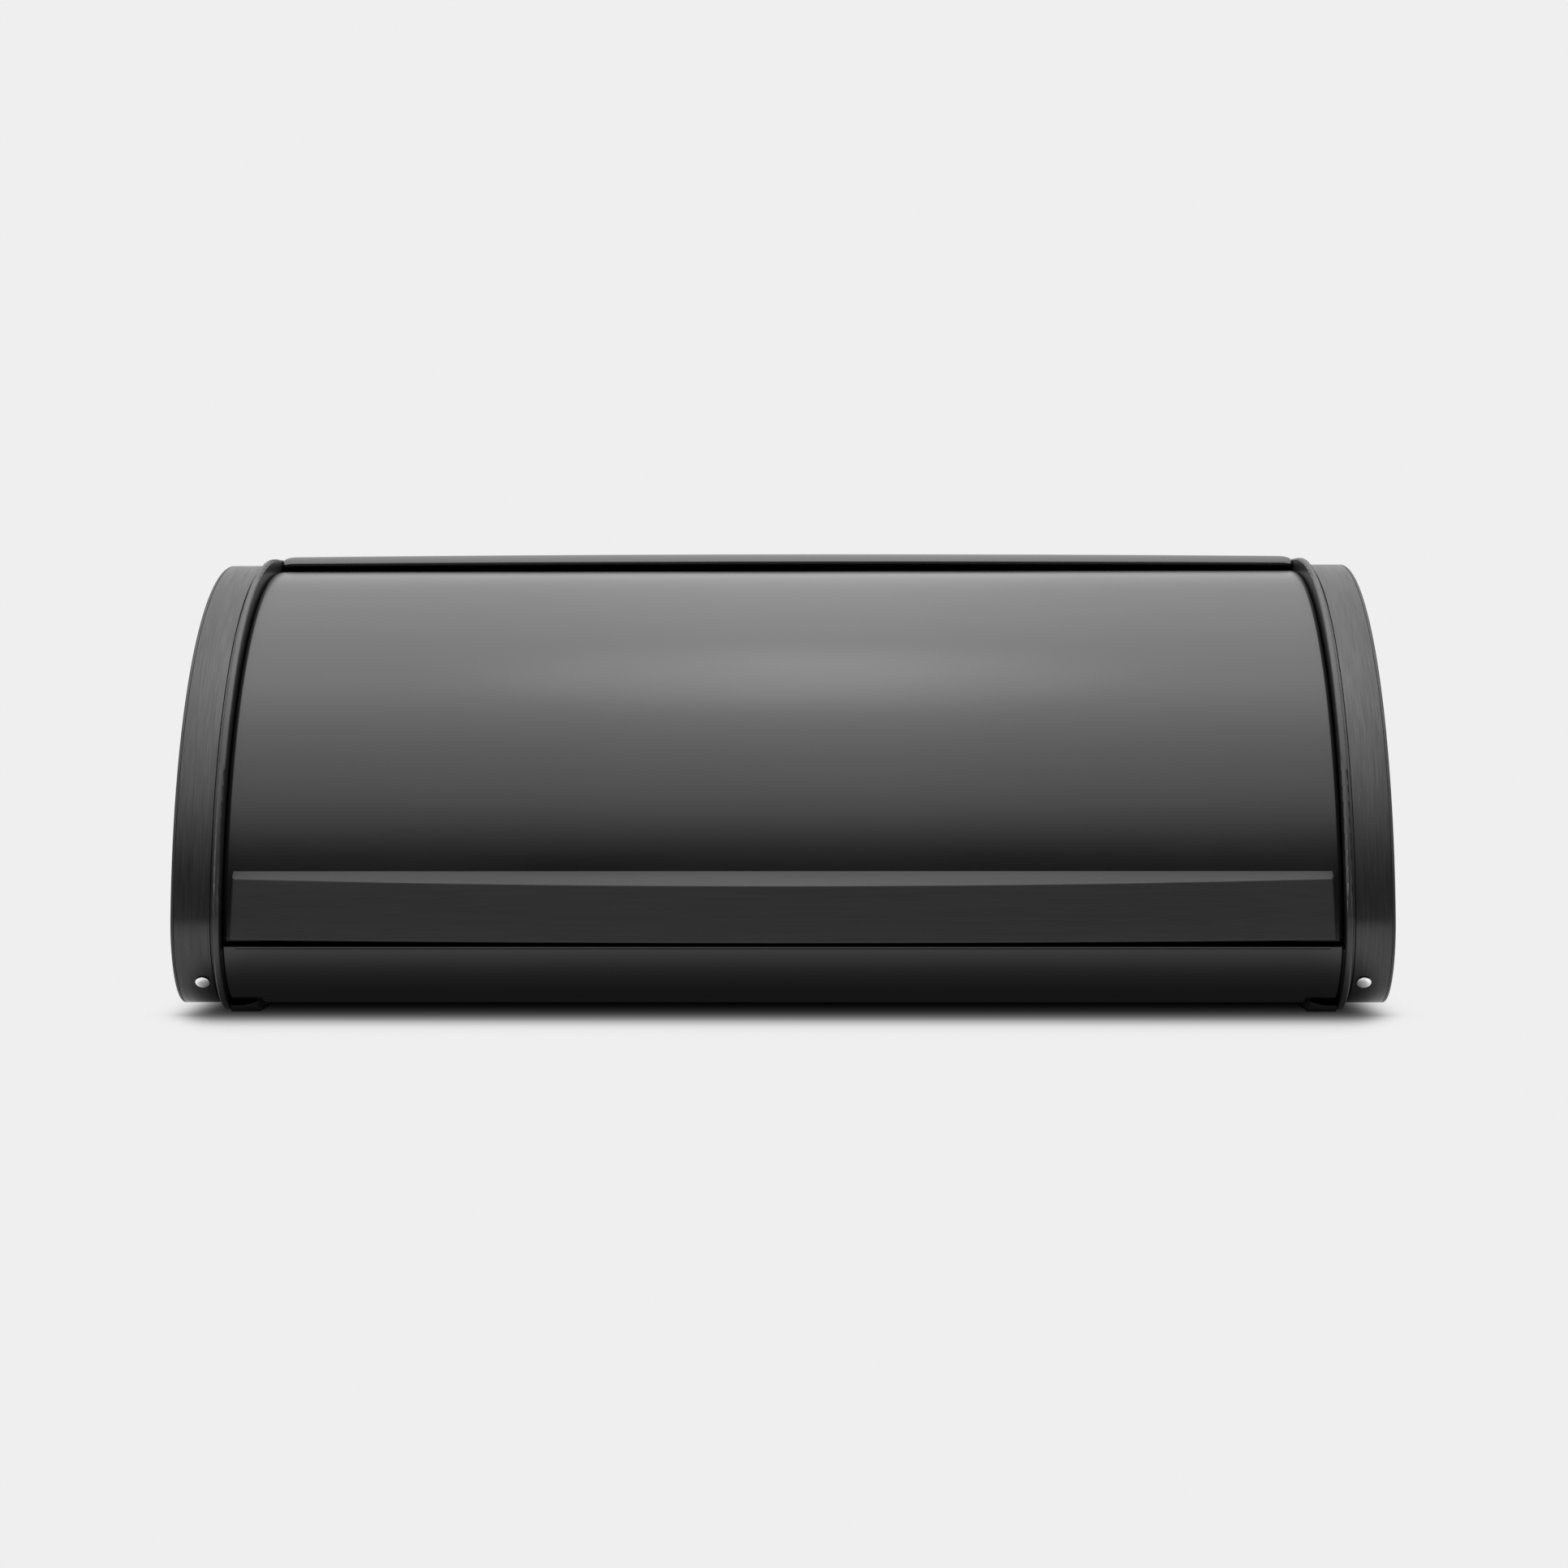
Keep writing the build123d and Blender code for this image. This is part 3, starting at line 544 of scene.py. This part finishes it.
def make_rivets():
    """Set rivet heads, a little undercut, at the bands' front corners and backs."""
    shell = Shell()
    front = corner + ray(FRONT_RIVET) * FRONT_CORNER, ray(FRONT_RIVET)
    back = Vector((BACK_Y, BACK_RIVET_Z)), ray(180)
    turn = [2 * math.pi * k / 40 for k in range(40)]
    for side in (1, -1):
        for foot, normal in (front, back):
            across = Vector((-normal.y, normal.x))
            loops = []
            for radius, height in RIVET_PROFILE:
                ring = []
                for t in turn:
                    yz = foot + normal * height + across * (radius * math.sin(t))
                    ring.append((side * (RIVET_X + radius * math.cos(t)), *yz))
                loops.append(shell.loop(ring))
            shell.skin(loops)
    piece("rivet_heads", shell, RIVET, "body", "band_rivets", smooth=60)


def grip_section(x, edge):
    """The handle's (y, z) section at x, less edge all round at its ends."""
    proud = GRIP_PROUD - GRIP_BOW * (x / (GRIP_HALF + GRIP_FLARE)) ** 2 - edge
    facing = ray(GRIP_MID)
    face = centre + facing * (LID_RADIUS + proud)
    root = centre + ray(GRIP_TOP) * LID_RADIUS
    ledge = Vector((-math.cos(math.radians(GRIP_LEDGE_SLOPE)), -math.sin(math.radians(GRIP_LEDGE_SLOPE))))
    base_rise = GRIP_BASE_Z - centre.y
    base = Vector((centre.x - math.sqrt(LID_RADIUS ** 2 - base_rise ** 2), GRIP_BASE_Z))
    under_run = Vector((-math.cos(math.radians(GRIP_BASE_SLOPE)), -math.sin(math.radians(GRIP_BASE_SLOPE))))

    def meet(p, u):
        """Where a line from p along u meets the face."""
        return p + u * ((face - p).dot(facing) / u.dot(facing))

    top_front, low_front = meet(root, ledge), meet(base, under_run)
    tuck = Vector((GRIP_TUCK, 0))
    return rounded([
        (*(root + tuck), 0), (*root, 0), (*top_front, 0.8), (*low_front, 0.7), (*base, 0),
        (*(base + tuck), 0),
    ], 6)


def make_handle():
    """Bowed handle with a sloping finger ledge, longer at the bottom than at the top."""
    fine = [0.0, 0.15, 0.4, 0.8, 1.3, 2.0, 3.0]
    half = [GRIP_HALF - d for d in fine] + [GRIP_HALF - 3 - 9 * i for i in range(1, 22)]
    across = sorted([-x for x in half] + [0.0] + half)
    top_z, low_z = centre.y + LID_RADIUS * math.sin(math.radians(GRIP_TOP)), GRIP_BASE_Z - 2
    shell, loops = Shell(), []
    for x in across:
        past = max(0.0, abs(x) - (GRIP_HALF - GRIP_ROUND))
        edge = GRIP_ROUND - math.sqrt(max(0.0, GRIP_ROUND ** 2 - past ** 2))
        loop = []
        for y, z in grip_section(x, edge):
            flare = 1 + GRIP_FLARE * (top_z - z) / (top_z - low_z) / GRIP_HALF
            loop.append((x * flare, y, z))
        loops.append(shell.loop(loop))
    shell.skin(loops)
    piece("handle", shell, GRIP, "lid", "handle_bar", smooth=30)


# ---- Studio --------------------------------------------------------------------------------------------
PALE = 0.863             # the floor's and background's brightness
LENS, SENSOR = 82.3, 36.0
CAMERA_X, CAMERA_DISTANCE, CAMERA_HEIGHT = 18.0, 1297.0, 130.9   # from the front, and above the bottom
CAMERA_YAW, CAMERA_PITCH, CAMERA_ROLL = 0.755, 2.15, -0.06   # degrees: leftwards, down, and about its axis

# The painted contact shadow, drawn into the floor's glow rather than cast: its middle, its half length and
# half depth, and how soft its edges are, in mm
SHADOW_Y, SHADOW_HALF_X, SHADOW_HALF_Y = -2.5, 219.8, 145.8
SOFT_X, SOFT_Y = 3.0, 10.5
FRINGE_Y, FRINGE = -125, 0.3                     # in front of there, how fast the ends draw in
SHEEN = 1.4              # how much brighter the floor is to the object than to the camera

# Light from round the studio, by elevation: a large soft source overhead, dim ahead, pale behind
SKY = [
    (0, 0.05), (24, 0.05), (28, 0.10), (36, 0.85), (46, 1.78), (60, 2.25), (78, 3.1), (85, 3.6), (95, 3.5),
    (116, 2.7), (140, 1.45), (152, 1.07), (180, 0.9),
]
SKY_TOP = max(level for _, level in SKY)
SKY_FADE = 0.75          # how much dimmer it is out to the sides
SKY_SWELL, SWELL_WIDTH = 0.17, 120.0             # how much brighter it is in the middle, and how narrowly

LAMP_AT = Vector((4.0, -85.0, 828.0))
LAMPS = [("inner", 0.22, 0.22, 0.16), ("outer", 0.44, 0.34, 0.255)]   # width and depth in m, and watts


def maths(tree, operation, first, second=None):
    """The result of a maths node on one or two fields or numbers."""
    node = tree.nodes.new("ShaderNodeMath")
    node.operation = operation
    for socket, value in zip(node.inputs, (first, second)):
        if isinstance(value, (int, float)):
            socket.default_value = value
        elif value is not None:
            tree.links.new(value, socket)
    return node.outputs["Value"]


def make_camera():
    """The photograph's view: nearly square on from the front, a little above the middle."""
    data = bpy.data.cameras.new("camera")
    data.lens, data.sensor_width, data.clip_end = LENS, SENSOR, 50.0
    camera = bpy.data.objects.new("camera", data)
    scene.collection.objects.link(camera)
    front_y = centre.x - BAND_RADIUS
    camera.location = Vector((CAMERA_X, front_y - CAMERA_DISTANCE, BOTTOM_Z + CAMERA_HEIGHT)) * MM
    yaw, pitch, roll = (math.radians(angle) for angle in (CAMERA_YAW, CAMERA_PITCH, CAMERA_ROLL))
    ahead = Vector((-math.sin(yaw) * math.cos(pitch), math.cos(yaw) * math.cos(pitch), -math.sin(pitch)))
    camera.rotation_mode = "QUATERNION"
    camera.rotation_quaternion = ahead.to_track_quat("-Z", "Y") @ Quaternion((0, 0, 1), roll)
    scene.camera = camera


def make_floor():
    """A pale floor that glows evenly, with a painted contact shadow where the object stands close over it."""
    reach = 6.0
    mesh = bpy.data.meshes.new("floor")
    corners = [(-reach, -reach, 0), (reach, -reach, 0), (reach, reach, 0), (-reach, reach, 0)]
    mesh.from_pydata(corners, [], [(0, 1, 2, 3)])
    floor = bpy.data.objects.new("floor", mesh)
    scene.collection.objects.link(floor)
    material = bpy.data.materials.new("pale_floor_painted_shadow")
    material.use_nodes = True
    tree = material.node_tree
    nodes, links = tree.nodes, tree.links
    nodes.clear()
    place = nodes.new("ShaderNodeTexCoord")
    split = nodes.new("ShaderNodeSeparateXYZ")
    links.new(place.outputs["Object"], split.inputs["Vector"])
    in_front = maths(tree, "MAXIMUM", maths(tree, "SUBTRACT", FRINGE_Y * MM, split.outputs["Y"]), 0.0)
    sideways = maths(tree, "ABSOLUTE", split.outputs["X"])
    sideways = maths(tree, "ADD", sideways, maths(tree, "MULTIPLY", in_front, FRINGE))
    along = maths(tree, "ABSOLUTE", maths(tree, "SUBTRACT", split.outputs["Y"], SHADOW_Y * MM))

    def shade(distance, half, soft):
        """1 within the painted shadow and 0 outside it, with an even fall between."""
        past = maths(tree, "DIVIDE", maths(tree, "SUBTRACT", distance, half * MM), 2 * soft * MM)
        return maths(tree, "SUBTRACT", 0.5, maths(tree, "MULTIPLY", maths(tree, "TANH", past), 0.5))

    # Painted shadow: the floor's glow is dimmed over a set footprint under the object, not shaded by the
    # lamps
    across = shade(sideways, SHADOW_HALF_X, SOFT_X)
    dark = maths(tree, "MULTIPLY", across, shade(along, SHADOW_HALF_Y, SOFT_Y))
    lit = maths(tree, "SUBTRACT", 1.0, dark)
    path = nodes.new("ShaderNodeLightPath")
    mix = nodes.new("ShaderNodeMixShader")
    out = nodes.new("ShaderNodeOutputMaterial")
    links.new(path.outputs["Is Camera Ray"], mix.inputs["Fac"])
    for socket, strength in ((1, PALE * SHEEN), (2, PALE)):
        glow = nodes.new("ShaderNodeEmission")
        links.new(maths(tree, "MULTIPLY", lit, strength), glow.inputs["Strength"])
        links.new(glow.outputs["Emission"], mix.inputs[socket])
    # Seen from below, the floor isn't there
    below = nodes.new("ShaderNodeNewGeometry").outputs["Backfacing"]
    clear = nodes.new("ShaderNodeBsdfTransparent")
    from_above = nodes.new("ShaderNodeMixShader")
    links.new(below, from_above.inputs["Fac"])
    links.new(mix.outputs["Shader"], from_above.inputs[1])
    links.new(clear.outputs["BSDF"], from_above.inputs[2])
    links.new(from_above.outputs["Shader"], out.inputs["Surface"])
    mesh.materials.append(material)


def make_sky():
    """The studio round the object, which only the object sees; the camera sees a plain pale background."""
    world = bpy.data.worlds.new("studio")
    scene.world = world
    world.use_nodes = True
    tree = world.node_tree
    nodes, links = tree.nodes, tree.links
    nodes.clear()
    place = nodes.new("ShaderNodeTexCoord")
    split = nodes.new("ShaderNodeSeparateXYZ")
    links.new(place.outputs["Generated"], split.inputs["Vector"])
    ahead = maths(tree, "MULTIPLY", split.outputs["Y"], -1.0)
    turn = maths(tree, "ARCTAN2", split.outputs["Z"], ahead)
    share = maths(tree, "DIVIDE", turn, math.pi)
    ramp = nodes.new("ShaderNodeValToRGB")
    while len(ramp.color_ramp.elements) < len(SKY):
        ramp.color_ramp.elements.new(0.5)
    for element, (elevation, level) in zip(ramp.color_ramp.elements, SKY):
        element.position, element.color = elevation / 180, (*grey(level / SKY_TOP), 1)
    links.new(share, ramp.inputs["Fac"])
    sideways = maths(tree, "POWER", maths(tree, "ABSOLUTE", split.outputs["X"]), 2.0)
    fade = maths(tree, "SUBTRACT", 1.0, maths(tree, "MULTIPLY", sideways, SKY_FADE))
    swell = maths(tree, "EXPONENT", maths(tree, "MULTIPLY", sideways, -SWELL_WIDTH))
    middle = maths(tree, "ADD", fade, maths(tree, "MULTIPLY", swell, SKY_SWELL))
    lit = nodes.new("ShaderNodeBackground")
    links.new(ramp.outputs["Color"], lit.inputs["Color"])
    links.new(maths(tree, "MULTIPLY", middle, SKY_TOP), lit.inputs["Strength"])
    seen = nodes.new("ShaderNodeBackground")
    seen.inputs["Color"].default_value = (*grey(PALE), 1)
    path = nodes.new("ShaderNodeLightPath")
    mix = nodes.new("ShaderNodeMixShader")
    out = nodes.new("ShaderNodeOutputWorld")
    links.new(path.outputs["Is Camera Ray"], mix.inputs["Fac"])
    links.new(lit.outputs["Background"], mix.inputs[1])
    links.new(seen.outputs["Background"], mix.inputs[2])
    links.new(mix.outputs["Shader"], out.inputs["Surface"])


def make_lamps():
    """Two nested soft boxes overhead, whose reflection is the soft oval on the lid."""
    for name, wide, deep, energy in LAMPS:
        data = bpy.data.lights.new(f"{name}_soft_box", "AREA")
        data.shape, data.size, data.size_y = "ELLIPSE", wide, deep
        data.energy = energy
        lamp = bpy.data.objects.new(f"{name}_soft_box", data)
        lamp.location = LAMP_AT * MM
        lamp.visible_camera = False
        scene.collection.objects.link(lamp)


make_camera()
make_floor()
make_sky()
make_lamps()
scene.view_settings.view_transform = "Standard"

finish_cad_nodes()
make_lid_skin()
make_top_cover()
make_pan()
make_bands()
make_rivets()
make_handle()
